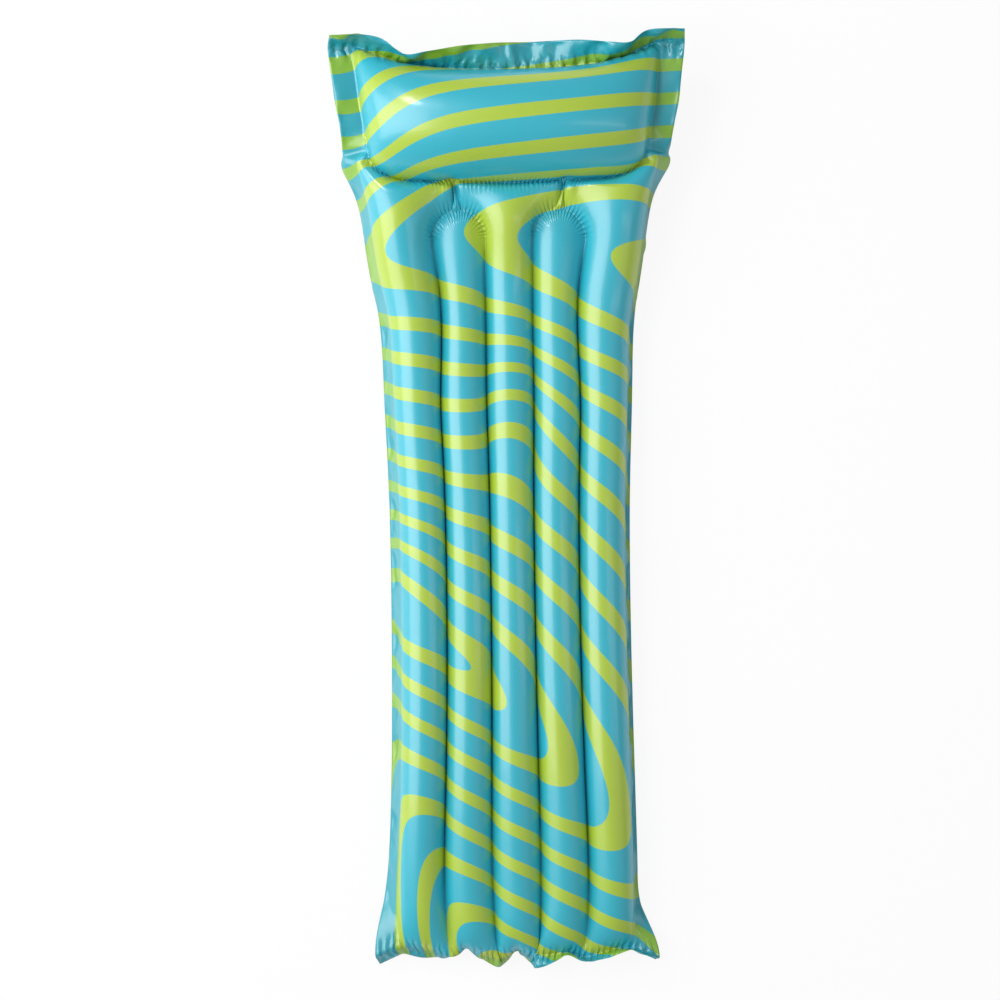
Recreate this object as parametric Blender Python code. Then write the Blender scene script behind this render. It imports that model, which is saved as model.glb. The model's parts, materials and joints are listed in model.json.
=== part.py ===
"""Inflatable pool mattress, lying flat as in use.

Two vinyl sheets are welded together round a wide flange. A curved seam parts the head pillow
from the body, and arched welds part the body into lengthwise tubes. Each chamber has its own
push-in valve on the underside.

X runs across, Y along with the head at +Y, and Z up. The origin is on the ground under the
middle of the mattress. Metres throughout.

A sheet place is (across, along): metres from the centre line and from the foot edge, before
the tubes flare at the shoulders and the foot.
"""

import math

import bmesh
import bpy
from mathutils import Matrix, Vector

# Vinyl, and the clearance between pieces that touch
SHEET = 0.0003
CLEARANCE = 0.0003

# Tubes of the body
TUBES = 5
TUBE_PITCH = 0.0852
TUBE_THICKNESS = 0.085
WELD_WIDTH = 0.0044
FOOT_OPENING = 0.035
ARCH_TOP = 1.413

# Pillow and its curved seam
NECK = 0.051
SEAM_FLAT = 0.10
SEAM_RISE = 0.115
SEAM_POWER = 1.6
PILLOW_DEPTH = 0.211
PILLOW_THICKNESS = 0.200
PILLOW_END = 0.11
HEAD_BOW = 0.035

# Welded flange, which hangs down along the body's sides and lies flat at the foot and the head
SIDE_FLANGE = 0.042
HEAD_FLANGE = 0.042
FOOT_FLANGE = 0.030
SIDE_HANG = math.radians(66)
FOOT_FADE = 0.08
HEAD_FADE = 0.05
CORNER_RISE = 0.025

# Where the outline widens, and where the neck lifts off the ground
SHOULDER = 1.15
HEAD_SPREAD = 0.345
SPREAD_END = 1.60
SEAM_PINCH = 0.07
SEAM_PINCH_RUN = 0.035
NECK_SWELL = 0.12
FOOT_TAPER = 0.65
FOOT_FLARE = 0.30
FOOT_SPREAD = 0.05
LIFT_START = 1.20
LIFT_END = 1.60

# Valve
VALVE_FLANGE_RADIUS = 0.0150
VALVE_FLANGE_THICKNESS = 0.0010
VALVE_THROAT_RADIUS = 0.0095
VALVE_WINDOW_RADIUS = 0.0110
LAND_DEPTH = 0.024
LAND_HALF_WIDTH = 0.034
STEM_RADIUS = 0.0060
BORE_RADIUS = 0.0045
SEAT_RADIUS = 0.0032
STEM_TOP = 0.0120
STEM_INSIDE = 0.0040
SEAT_THICKNESS = 0.0010
SKIRT_THICKNESS = 0.0008
SKIRT_RISE = 0.0022
FLAP_THICKNESS = 0.0007
FLAP_MARGIN = 0.0012
CAP_RADIUS = 0.0072
CAP_THICKNESS = 0.0015
PLUG_LENGTH = 0.0060
PLUG_TIP_RADIUS = 0.0028
STRAP_WIDTH = 0.0050
STRAP_THICKNESS = 0.0010
HINGE_REACH = 0.0120
EAR_THICKNESS = 0.0018
PULL_REACH = 0.0105
CAP_CHAMFER = 0.0006

# Facets, and where the rows between two welds lie, as parts of the way
TUBE_FACETS = 5
PILLOW_FACETS = 5
ROUND_SIDES = 24
FOOT_ROW = 0.35
SHOULDER_ROW = 0.5
ARCH_ROW = 0.75
NECK_ROW = 0.5
SEAM_ROW = 0.82
ARCH_FOOT = 0.006

# Limits of the mesh work
SHARP_ANGLE = math.radians(40)
SAME_PLACE = 0.000001
SAME_ROW = 0.0001

# Worked out from the sizes above
BODY_HALF = TUBES * TUBE_PITCH / 2
WELD_HALF = WELD_WIDTH / 2
TUBE_HALF = TUBE_THICKNESS / 2
PILLOW_HALF = PILLOW_THICKNESS / 2
TUBE_RADIUS = TUBE_PITCH / 2 - WELD_HALF
ARCH_CENTRE = ARCH_TOP - TUBE_PITCH / 2
SEAM_LOW = ARCH_TOP + NECK
HEAD_WELD = SEAM_LOW + PILLOW_DEPTH
LENGTH = HEAD_WELD + HEAD_BOW + HEAD_FLANGE
SKIN = SHEET + CLEARANCE / 2
HANGING_SKIN = SKIN / math.cos(SIDE_HANG)
REST_LEVEL = TUBE_HALF + SKIN
PILLOW_LIFT = PILLOW_HALF - TUBE_HALF

# Colours
VINYL_AQUA = (0.10, 0.52, 0.70)
CLEAR_VINYL = (0.80, 0.88, 0.90)


def clear_scene():
    for obj in list(bpy.data.objects):
        bpy.data.objects.remove(obj)


def smooth_step(value, low, high):
    """0 below low, 1 above high, and a smooth rise between them."""
    part = min(max((value - low) / (high - low), 0), 1)
    return part * part * (3 - 2 * part)


def mix(low, high, part):
    return low + (high - low) * part


def bulge(part):
    """Height of a round profile, 0 to 1, at this part of the way from its weld to its crown."""
    part = min(max(part, 0), 1)
    return math.sqrt(1 - (1 - part) ** 2)


def crown_scale(facets):
    """What a profile is scaled by, so that its middle facet lies at full height."""
    return 1 / math.cos(math.pi / (2 * facets)) if facets % 2 else 1


def seam(across):
    """Along-place of the pillow seam: flat in the middle, and curving up to the sides."""
    part = min(max((abs(across) - SEAM_FLAT) / (BODY_HALF - SEAM_FLAT), 0), 1)
    return SEAM_LOW + SEAM_RISE * (1 - math.sqrt(1 - part**SEAM_POWER))


def closed_tube_centres():
    """Every second tube is closed at its top by an arched weld."""
    return [-BODY_HALF + (tube + 0.5) * TUBE_PITCH for tube in range(1, TUBES, 2)]


def arch(across, offset):
    """Along-place of an arched weld, moved out by offset, or None beside it."""
    for centre in closed_tube_centres():
        inside = (TUBE_PITCH / 2 + offset) ** 2 - (across - centre) ** 2
        if inside >= 0:
            return ARCH_CENTRE + math.sqrt(inside)
    return None


def arch_rows(across):
    """The two edges of the arched weld's band, which run on beside it as plain rows."""
    inner = max(arch(across, -WELD_HALF) or 0, ARCH_CENTRE + ARCH_FOOT)
    outer = max(arch(across, WELD_HALF) or 0, inner + WELD_WIDTH)
    return inner, outer


def weld_distance(across, along):
    """Distance from a place in the body to the nearest weld's edge."""
    found = [BODY_HALF - abs(across), (along - FOOT_FLANGE) * FOOT_TAPER]
    run = 0.001
    slope = (seam(abs(across)) - seam(abs(across) - run)) / run
    found.append((seam(across) - WELD_HALF - along) / math.hypot(1, slope))
    for centre in closed_tube_centres():
        offset = abs(across - centre)
        if along > ARCH_CENTRE:
            arm = math.hypot(offset, along - ARCH_CENTRE) - TUBE_PITCH / 2
        else:
            short = max(FOOT_FLANGE + FOOT_OPENING - along, 0)
            arm = math.hypot(offset - TUBE_PITCH / 2, short)
        found.append(abs(arm) - WELD_HALF)
    return max(min(found), 0)


def half_height(across, along, in_pillow):
    """Half the inflated thickness at a place."""
    if not in_pillow:
        full = TUBE_HALF * (1 + NECK_SWELL * smooth_step(along, ARCH_CENTRE, SEAM_LOW))
        height = bulge(weld_distance(across, along) / TUBE_RADIUS)
        return min(full * crown_scale(TUBE_FACETS) * height, full)
    low = seam(across) + WELD_HALF
    part = (along - low) / (head_weld(across) - low)
    height = bulge(2 * min(part, 1 - part))
    end = bulge((BODY_HALF - abs(across)) / PILLOW_END)
    return PILLOW_HALF * crown_scale(PILLOW_FACETS) * height * end


def head_weld(across):
    """The head weld and its flange bow in towards the middle as the pillow fills."""
    return HEAD_WELD + HEAD_BOW * min(abs(across) / BODY_HALF, 1) ** 2


def spread(along):
    """How far the chambers widen at the shoulders and the foot, and narrow at the seam's ends."""
    head = HEAD_SPREAD * smooth_step(along, SHOULDER, SPREAD_END)
    foot = FOOT_SPREAD * max(1 - along / FOOT_FLARE, 0) ** 2
    pinch = SEAM_PINCH * math.exp(-(((along - SEAM_LOW - SEAM_RISE) / SEAM_PINCH_RUN) ** 2))
    return 1 + head + foot - pinch


def weld_level(along):
    """Height of the weld plane, which rises from the tubes to the thicker pillow."""
    return REST_LEVEL + PILLOW_LIFT * smooth_step(along, LIFT_START, LIFT_END)


def flange_hang(along):
    """Angle by which the side flange hangs down at this along-place."""
    from_foot = smooth_step(along, FOOT_FLANGE, FOOT_FLANGE + FOOT_FADE)
    seam_end = SEAM_LOW + SEAM_RISE
    to_head = smooth_step(along, seam_end - HEAD_FADE, seam_end + HEAD_FADE)
    return SIDE_HANG * from_foot * (1 - to_head)


def middle_level(across, along):
    """Height midway between the two sheets, where they are welded."""
    beyond = max(abs(across) - BODY_HALF, 0)
    past_head = max(along - head_weld(across), 0) / HEAD_FLANGE
    corner = CORNER_RISE * (across / BODY_HALF) ** 2 * past_head
    return weld_level(along) - beyond * math.sin(flange_hang(along)) + corner


def columns():
    """Across-places of the sheet's columns: each tube's facets between its two weld edges."""
    places = [-BODY_HALF - SIDE_FLANGE]
    for tube in range(TUBES):
        left = tube * TUBE_PITCH - BODY_HALF + (WELD_HALF if tube > 0 else 0)
        right = (tube + 1) * TUBE_PITCH - BODY_HALF - (WELD_HALF if tube < TUBES - 1 else 0)
        for facet in range(TUBE_FACETS + 1):
            part = (1 - math.cos(math.pi * facet / TUBE_FACETS)) / 2
            places.append(mix(left, right, part))
    return places + [BODY_HALF + SIDE_FLANGE]


def rows(across):
    """Along-places of one column's points, which follow the welds, in named stretches."""
    inner, outer = arch_rows(across)
    parts = [(1 - math.cos(math.pi * facet / PILLOW_FACETS)) / 2 for facet in range(PILLOW_FACETS + 1)]
    low_seam = seam(across) - WELD_HALF
    high_seam = seam(across) + WELD_HALF
    head = head_weld(across)
    arms = FOOT_FLANGE + FOOT_OPENING
    shoulder = mix(SHOULDER, ARCH_CENTRE, SHOULDER_ROW)
    return {
        "foot": [0, FOOT_FLANGE, mix(FOOT_FLANGE, arms, FOOT_ROW)],
        "tubes": [arms, FOOT_FLANGE + FOOT_FADE, FOOT_FLARE, SHOULDER, shoulder, ARCH_CENTRE],
        "arch": [mix(ARCH_CENTRE, inner, ARCH_ROW), inner],
        "neck": [outer, mix(outer, low_seam, NECK_ROW), mix(outer, low_seam, SEAM_ROW), low_seam],
        "pillow": [mix(high_seam, head, part) for part in parts],
        "head": [head + HEAD_FLANGE],
    }


def on_valve_land(across, along):
    """The body valve's disc holds the underside of the neck flat around it."""
    neck = rows(0)["neck"]
    return abs(across) < LAND_HALF_WIDTH and neck[0] - SAME_ROW <= along <= neck[-2] + SAME_ROW


def outer_point(across, along, in_pillow, side):
    """A point on the outer face of the top sheet (side 1) or of the bottom one (side -1)."""
    in_flange = abs(across) > BODY_HALF or along <= FOOT_FLANGE or along > head_weld(across)
    height = 0 if in_flange else half_height(across, along, in_pillow)
    if side < 0 and not in_pillow and on_valve_land(across, along):
        height = LAND_DEPTH
    beyond = abs(across) - BODY_HALF
    skin = HANGING_SKIN if beyond > -SAME_PLACE else SKIN
    z = middle_level(across, along) + side * (height + skin)
    if side < 0:
        z = max(z, 0)
    x = min(abs(across), BODY_HALF) * spread(along) + max(beyond, 0) * math.cos(flange_hang(along))
    return Vector((math.copysign(x, across), along - LENGTH / 2, z))


def column_points(across, side):
    """One column's points on the outer face, each with its middle level."""
    points = []
    for stretch, places in rows(across).items():
        for along in places:
            point = outer_point(across, along, stretch == "pillow", side)
            points.append((point, middle_level(across, along)))
    return points


def add_object(name, bm, material, smooth=True):
    bmesh.ops.recalc_face_normals(bm, faces=bm.faces)
    mesh = bpy.data.meshes.new(name)
    bm.to_mesh(mesh)
    bm.free()
    if smooth:
        mesh.shade_smooth()
        mesh.set_sharp_from_angle(angle=SHARP_ANGLE)
    mesh.materials.append(material)
    obj = bpy.data.objects.new(name, mesh)
    bpy.context.scene.collection.objects.link(obj)
    return obj


def make_material(name, color, roughness, alpha=1.0):
    material = bpy.data.materials.new(name)
    material.use_nodes = True
    shader = material.node_tree.nodes["Principled BSDF"]
    shader.inputs["Base Color"].default_value = (*color, 1)
    shader.inputs["Roughness"].default_value = roughness
    shader.inputs["Metallic"].default_value = 0
    shader.inputs["Alpha"].default_value = alpha
    return material


def inner_point(vertex, side, middle):
    """A vertex of the outer face moved in by the vinyl's thickness, clear of the other sheet."""
    place = vertex.co - vertex.normal * SHEET * vertex.calc_shell_factor()
    level = middle + side * CLEARANCE / 2
    if side * (place.z - level) < 0:
        place.z = level
    return place


def add_sheet(name, side, material):
    """One vinyl sheet: its outer face as a net of triangles, and its inner face under that."""
    bm = bmesh.new()
    net = []
    middles = {}
    for across in columns():
        column = []
        for point, middle in column_points(across, side):
            column.append(bm.verts.new(point))
            middles[column[-1]] = middle
        net.append(column)
    for left, right in zip(net, net[1:]):
        for row in range(len(left) - 1):
            a, b, c, d = left[row], right[row], right[row + 1], left[row + 1]
            triangles = [(a, b, c), (a, c, d)] if a.co.x + b.co.x < 0 else [(a, b, d), (b, c, d)]
            for triangle in triangles:
                bm.faces.new(triangle if side > 0 else triangle[::-1])
    bm.normal_update()
    faces = list(bm.faces)
    rim = [edge for edge in bm.edges if edge.is_boundary]
    inner = {vertex: bm.verts.new(inner_point(vertex, side, middles[vertex])) for vertex in list(bm.verts)}
    for face in faces:
        bm.faces.new([inner[vertex] for vertex in reversed(face.verts)])
    for edge in rim:
        a, b = edge.verts
        bm.faces.new((a, b, inner[b], inner[a]))
    return add_object(name, bm, material)


def turned(name, profile, material):
    """A solid of revolution about Z from (radius, z) points, which may end on the axis."""
    bm = bmesh.new()
    points = [bm.verts.new((radius, 0, z)) for radius, z in profile]
    edges = [bm.edges.new(pair) for pair in zip(points, points[1:])]
    if profile[0][0] > 0:
        edges.append(bm.edges.new((points[-1], points[0])))
    bmesh.ops.spin(
        bm,
        geom=points + edges,
        cent=(0, 0, 0),
        axis=(0, 0, 1),
        angle=2 * math.pi,
        steps=ROUND_SIDES,
        use_merge=True,
    )
    bmesh.ops.remove_doubles(bm, verts=bm.verts, dist=SAME_PLACE)
    return add_object(name, bm, material)


def box(name, low, high, material):
    bm = bmesh.new()
    bmesh.ops.create_cube(bm, size=1)
    for vertex in bm.verts:
        vertex.co = [mix(a, b, part + 0.5) for a, b, part in zip(low, high, vertex.co)]
    return add_object(name, bm, material, smooth=False)


def boolean(obj, other, operation):
    """Joins or cuts with a helper, which stays out of the render."""
    modifier = obj.modifiers.new(other.name, "BOOLEAN")
    modifier.operation = operation
    modifier.object = other
    other.hide_render = True
    other.display_type = "WIRE"


def facet_frame(name, low, high):
    """An empty on the underside, midway between two rows of the centre line.

    Its X runs across, its Y up the slope, and its Z out of the mattress.
    """
    up = (high - low).normalized()
    out = Vector((1, 0, 0)).cross(up)
    side = Vector((1, 0, 0))
    if out.z > 0:
        out = -out
        side = -side
    empty = bpy.data.objects.new(name, None)
    bpy.context.scene.collection.objects.link(empty)
    turn = Matrix((side, up, out)).transposed().to_4x4()
    empty.matrix_world = Matrix.Translation((low + high) / 2) @ turn
    return empty


def joint_frame(name, parent, place):
    """An empty on a moving piece's joint axis, in the valve's own frame."""
    empty = bpy.data.objects.new(name, None)
    bpy.context.scene.collection.objects.link(empty)
    empty.parent = parent
    empty.location = place
    return empty


def hang(obj, frame, origin=(0, 0, 0)):
    """Parents a piece modelled in the valve's frame to a frame whose origin is elsewhere."""
    obj.parent = frame
    obj.location = -Vector(origin)


def add_valve(prefix, frame, sheet, material):
    """One push-in valve. Its frame's Z = 0 is the outer face of the bottom sheet."""
    weld_face = -SHEET - CLEARANCE
    flange_back = weld_face - VALVE_FLANGE_THICKNESS

    window = turned(
        f"{prefix}_window_cutter",
        [
            (0, flange_back),
            (VALVE_WINDOW_RADIUS, flange_back),
            (VALVE_WINDOW_RADIUS, STEM_TOP),
            (0, STEM_TOP),
        ],
        material,
    )
    hang(window, frame)
    boolean(sheet, window, "DIFFERENCE")

    flange = turned(
        f"{prefix}_flange",
        [
            (VALVE_THROAT_RADIUS, flange_back),
            (VALVE_FLANGE_RADIUS, flange_back),
            (VALVE_FLANGE_RADIUS, weld_face),
            (VALVE_THROAT_RADIUS, weld_face),
        ],
        material,
    )
    hang(flange, frame)

    skirt_outer = VALVE_THROAT_RADIUS - CLEARANCE
    skirt_inner = STEM_RADIUS + CLEARANCE
    skirt = turned(
        f"{prefix}_skirt",
        [
            (skirt_outer, flange_back),
            (skirt_outer, flange_back + SKIRT_THICKNESS),
            (skirt_inner, flange_back + SKIRT_THICKNESS + SKIRT_RISE),
            (skirt_inner, flange_back + SKIRT_RISE),
        ],
        material,
    )
    hang(skirt, frame)

    stem_frame = joint_frame(f"{prefix}_push_axis", frame, (0, 0, 0))
    stem = turned(
        f"{prefix}_stem",
        [
            (SEAT_RADIUS, -STEM_INSIDE),
            (STEM_RADIUS, -STEM_INSIDE),
            (STEM_RADIUS, STEM_TOP),
            (BORE_RADIUS, STEM_TOP),
            (BORE_RADIUS, SEAT_THICKNESS - STEM_INSIDE),
            (SEAT_RADIUS, SEAT_THICKNESS - STEM_INSIDE),
        ],
        material,
    )
    hang(stem, stem_frame)
    ear = box(
        f"{prefix}_ear_helper",
        (-STRAP_WIDTH / 2, (STEM_RADIUS + BORE_RADIUS) / 2, STEM_TOP - EAR_THICKNESS),
        (STRAP_WIDTH / 2, HINGE_REACH + STRAP_THICKNESS, STEM_TOP),
        material,
    )
    hang(ear, stem_frame)
    boolean(stem, ear, "UNION")

    flap_radius = SEAT_RADIUS + FLAP_MARGIN
    flap_face = -STEM_INSIDE - CLEARANCE
    flap_back = flap_face - FLAP_THICKNESS
    flap_axis = (0, flap_radius, flap_face)
    flap_frame = joint_frame(f"{prefix}_flap_axis", stem_frame, flap_axis)
    flap = turned(
        f"{prefix}_flap",
        [(0, flap_back), (flap_radius, flap_back), (flap_radius, flap_face), (0, flap_face)],
        material,
    )
    hang(flap, flap_frame, flap_axis)

    cap_face = STEM_TOP + CLEARANCE
    cap_back = cap_face + CAP_THICKNESS
    hinge = (0, HINGE_REACH, cap_face + STRAP_THICKNESS / 2)
    plug_frame = joint_frame(f"{prefix}_plug_axis", stem_frame, hinge)
    plug = turned(
        f"{prefix}_plug",
        [
            (0, cap_face - PLUG_LENGTH),
            (PLUG_TIP_RADIUS, cap_face - PLUG_LENGTH),
            (BORE_RADIUS - CLEARANCE, cap_face),
            (CAP_RADIUS, cap_face),
            (CAP_RADIUS, cap_back - CAP_CHAMFER),
            (CAP_RADIUS - CAP_CHAMFER, cap_back),
            (0, cap_back),
        ],
        material,
    )
    hang(plug, plug_frame, hinge)
    pull = box(
        f"{prefix}_pull_helper",
        (-STRAP_WIDTH / 2, -PULL_REACH, cap_face),
        (STRAP_WIDTH / 2, -CAP_RADIUS / 2, cap_face + STRAP_THICKNESS),
        material,
    )
    hang(pull, plug_frame, hinge)
    boolean(plug, pull, "UNION")

    cap_edge = math.sqrt(CAP_RADIUS**2 - (STRAP_WIDTH / 2) ** 2)
    strap = box(
        f"{prefix}_strap",
        (-STRAP_WIDTH / 2, cap_edge + 2 * CLEARANCE, cap_face),
        (STRAP_WIDTH / 2, HINGE_REACH, cap_face + STRAP_THICKNESS),
        material,
    )
    hang(strap, plug_frame, hinge)


def main():
    clear_scene()
    aqua = make_material("top_vinyl", VINYL_AQUA, 0.18)
    under = make_material("bottom_vinyl", VINYL_AQUA, 0.22)
    clear = make_material("valve_vinyl", CLEAR_VINYL, 0.25, alpha=0.8)

    add_sheet("top_sheet", 1, aqua)
    bottom = add_sheet("bottom_sheet", -1, under)

    neck_land = rows(0)["neck"][:2]
    low, high = [outer_point(0, along, False, -1) for along in neck_land]
    add_valve("body_valve", facet_frame("body_valve_place", low, high), bottom, clear)

    above_crown = PILLOW_FACETS // 2 + 1
    head_slope = rows(0)["pillow"][above_crown : above_crown + 2]
    low, high = [outer_point(0, along, True, -1) for along in head_slope]
    add_valve("pillow_valve", facet_frame("pillow_valve_place", low, high), bottom, clear)


main()
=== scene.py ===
"""Looks of the pool air mattress: its two vinyl sheets, inflated here from their flat pattern,
their stripe print, the valves' clear vinyl, and the floor, light and camera.

A place on a flat sheet is (across, along): metres from the centre line and from the foot edge.
"""
import json
import math

import bmesh
import bpy
import numpy as np
from mathutils import Matrix, Vector


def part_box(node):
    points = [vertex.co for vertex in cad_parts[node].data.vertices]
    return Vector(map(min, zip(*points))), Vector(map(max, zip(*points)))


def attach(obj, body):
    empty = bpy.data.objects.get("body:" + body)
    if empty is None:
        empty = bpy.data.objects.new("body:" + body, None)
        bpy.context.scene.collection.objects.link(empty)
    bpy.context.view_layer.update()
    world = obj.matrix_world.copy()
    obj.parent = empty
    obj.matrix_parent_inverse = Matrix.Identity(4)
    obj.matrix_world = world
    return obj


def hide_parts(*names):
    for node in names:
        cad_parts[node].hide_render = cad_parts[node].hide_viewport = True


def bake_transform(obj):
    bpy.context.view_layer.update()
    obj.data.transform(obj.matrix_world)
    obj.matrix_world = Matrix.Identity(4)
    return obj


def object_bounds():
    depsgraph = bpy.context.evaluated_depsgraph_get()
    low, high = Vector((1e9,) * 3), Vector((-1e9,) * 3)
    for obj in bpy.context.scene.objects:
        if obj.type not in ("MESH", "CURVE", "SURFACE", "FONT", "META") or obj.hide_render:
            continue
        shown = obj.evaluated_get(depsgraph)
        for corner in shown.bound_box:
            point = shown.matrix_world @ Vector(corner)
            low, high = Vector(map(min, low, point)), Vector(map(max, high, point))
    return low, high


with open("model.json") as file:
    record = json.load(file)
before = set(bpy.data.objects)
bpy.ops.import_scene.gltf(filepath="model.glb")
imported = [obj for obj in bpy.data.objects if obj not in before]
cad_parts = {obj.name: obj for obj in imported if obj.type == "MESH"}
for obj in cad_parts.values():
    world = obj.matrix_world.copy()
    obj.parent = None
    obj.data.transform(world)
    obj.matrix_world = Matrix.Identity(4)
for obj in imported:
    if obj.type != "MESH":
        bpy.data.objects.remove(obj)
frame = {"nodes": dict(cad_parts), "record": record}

CAD_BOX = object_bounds()

# Flat pattern of each sheet, in metres
SHEET_WIDTH = 0.714
SHEET_LENGTH = 1.846
SIDE_FLANGE = 0.047
HEAD_FLANGE = 0.050
FOOT_FLANGE = 0.023
TUBES = 5
FOOT_OPENING = 0.020
PILLOW_DEPTH = 0.302
PILLOW_SIDE = 0.154
SEAM_POWER = 3.6
NECK = 0.062

# How far the vinyl gives across the body, the pillow and the foot when it is blown up; the head's
# give starts below the arches' centre and is full below the seam's ends
BODY_GIVE = 1.064
HEAD_GIVE = 0.964
HEAD_GIVE_START = 0.07
HEAD_GIVE_END = 0.045
WAIST_GIVE = -0.02
WAIST_PLACE = 1.27
WAIST_RUN = 0.13
SEAM_PINCH = 0.035
SEAM_PINCH_RUN = 0.05
FOOT_GIVE = 0.80
FOOT_RUN = 0.16
ARCH_PINCH = 0.12
ARCH_PINCH_RUN = 0.35
ARCH_PINCH_FADE = 0.06

# Solver: the grid's cell, the margin inside the end welds, how firmly the vinyl resists being
# pushed short and pulled long, and how much of its motion it keeps
CELL = 0.0075
WELD_MARGIN = 0.02
COMPRESSION_FLANGE = 1.0
COMPRESSION_SIDE = 0.1
COMPRESSION_SHEET = 0.1
STRETCH_STIFFNESS = 0.4
DAMPING = 0.95
TINY = 1e-6
SHORTEST = 1e-9
ALL = slice(None)

# Moving the grid onto the curved welds: rounds and share of the move that neighbours take over
SNAP_ROUNDS = 30
SNAP_SHARE = 0.95

# The solver's start: how far the sheets are apart, smoothed over some rounds, and the wave at each
# end: height, length, phase and reach
SEED_GAP = 0.01
SEED_ROUNDS = 12
SEED_HEAD_WAVE = (0.006, 0.066, 1.0, 0.09)
SEED_FOOT_PITCH = 0.62

# How the side flanges hang, by side, and how firmly they and the welds are held in place
HANG = 0.15
HANG_FADE_BELOW = 0.14
HANG_FADE_ABOVE = 0.01
SETTLE = 0.08
FLANGE_HANG = {-1: math.radians(70), 1: math.radians(80)}
FLANGE_RUN = {-1: 0.055, 1: 0.028}
CORNER_RISE = 0.12

# Smoothing of the solved shape: rounds and share for creases, half-widths in grid rows for the
# side flanges and the centre line, and where these hold
EASING = 30
EASING_SHARE = 0.25
CALMING = 9
CALM_FROM_FOOT = 0.05
CALM_FROM_SEAM = 0.03
STRAIGHTENING = 5
MIDDLE_TUBES = 1.6

# Foot corners laid flat: reach in foot flanges, and their spread across and along
CORNER_REACH = 4
CORNER_ACROSS = 0.95
CORNER_ALONG = -0.42

# Waves of the free edges: height and length of a long wave and of a short one, and their drift
SIDE_WAVES = (0.0030, 0.155, 0.0020, 0.061)
HEAD_WAVES = (0.0055, 0.069, 0.0022, 0.041)
FOOT_WAVES = (0.0060, 0.083, 0.0030, 0.047)
WAVE_DRIFT = 1.4
WAVE_DRIFT_TURNS = 9.0
SHORT_WAVE_DRIFT = 2.1
SIDE_WAVE_START = 0.10

# The weld plane's height under tubes and pillow and where it rises, the vinyl's thickness, the gap
# between the sheets, and their lift off the ground
BODY_LEVEL = 0.040
PILLOW_LEVEL = 0.100
LIFT_START = 1.20
LIFT_END = 1.60
VINYL = 0.0003
GAP = 0.0002
OFF_GROUND = 0.0008

# Levels of the solver: grid coarseness, steps, rounds, pressure and stiffness
LEVELS = (
    (3.0, 400, 6, 0.0005, 0.12),
    (1.7, 300, 6, 0.0003, 0.15),
    (1.0, 250, 8, 0.0002, 0.12),
)

# Colours, linear, and the finish of the vinyl and the floor; a grain is a noise's scale and detail
# and its bump's strength and distance
AQUA = (0.022, 0.43, 0.55)
LIME = (0.40, 0.56, 0.040)
# Painted shade: the flanges' colour is multiplied by this, so they look shaded
FLANGE_PAINTED_SHADE = (0.55, 0.80, 0.78)
CLEAR = (0.80, 0.88, 0.90)
FLOOR = (0.90, 0.90, 0.90)
VINYL_ROUGHNESS = 0.31
VINYL_WEAR = 0.10
VINYL_WEAR_SCALE = 9.0
VINYL_GRAIN = (24.0, 3.0, 0.25, 0.0012)
VINYL_SPECULAR = 0.95
COAT_WEIGHT = 0.30
COAT_ROUGHNESS = 0.09
CLEAR_GRAIN = (400.0, 2.0, 0.1, 0.0005)
CLEAR_ROUGHNESS = 0.25
CLEAR_TRANSMISSION = 0.3
FLOOR_ROUGHNESS = 0.7
FLOOR_WHITE = 0.9
FLOOR_HALF = 12

# Print: fields that count stripes over the flat sheet, each as stripes per metre along, stripes
# per metre across, and level; a bend is a place, its two half-widths and the stripes it adds
LIME_PART = 0.37
UPPER_LEFT = (14.5, 4.0, -16.83)
UPPER_RIGHT = (8.7, 10.5, -12.59)
UPPER_EDGE = (0.0, 8.1, -8.24)
PILLOW_BANDS = (-15.0, 1.5, 23.8)
LOWER_RIGHT = (-15.0, -7.2, -0.89)
LOWER_EDGE = (0.0, 16.0, 0.9)
NECK_BEND = (0.03, 1.02, 0.10, 0.14, -1.2)
EDGE_BEND = (-0.30, 0.74, 0.10, 0.15, -0.8)
PILLOW_DROP = (-0.33, 1.62, 0.13, 0.25, -1.2)

# How softly the fields of stripes meet
SHOULDER_SOFTNESS = 2.5
EDGE_SOFTNESS = 2.0
PILLOW_SOFTNESS = 6.0
FOOT_SOFTNESS = 3.0
FOLD_SOFTNESS = 2.0

# Crease between the seam and each arched weld: depth, half-width, lean, where it starts from the
# arch's top and ends from the seam, and the bottom sheet's share
PINCH_DEPTH = 0.016
PINCH_HALF = 0.010
PINCH_LEAN = 0.06
PINCH_START = (-0.012, 0.008)
PINCH_END = (-0.012, 0.004)
PINCH_BELOW = 0.6

# Pleats: spacing, reach and depth, how much they drift, and how fast they fade in at an edge
SEAM_PLEAT = (0.0095, 0.017, 0.0009)
ARCH_PLEAT = (0.0080, 0.017, 0.0010)
HEAD_PLEAT = (0.0230, 0.022, 0.0022)
FOOT_PLEAT = (0.0150, 0.016, 0.0016)
PLEAT_DRIFT = 9.0
PLEAT_DRIFT_SCALE = 30.0
CHAMBER_EDGE = 80.0
ARCH_EDGE = 60.0
FLANGE_EDGE = 200.0

# Valves: the sheet's round window, the flat land round it, and the thin skirt in the window
VALVES = ("body_valve", "pillow_valve")
WINDOW_RADIUS = 0.0110
WINDOW_SLACK = 1.01
LAND_RADIUS = 0.0160
LAND_FADE = 0.050
LAND_OFFSET = 0.0011
LAND_DEEPEST = 0.06
SKIRT_OUTER = 0.0093
SKIRT_INNER = 0.0062
SKIRT_RISE = 0.0021
SKIRT_THICKNESS = 0.0007
SKIRT_CURVE = 1.5
SKIRT_RINGS = 8
SKIRT_STEPS = 48

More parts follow.
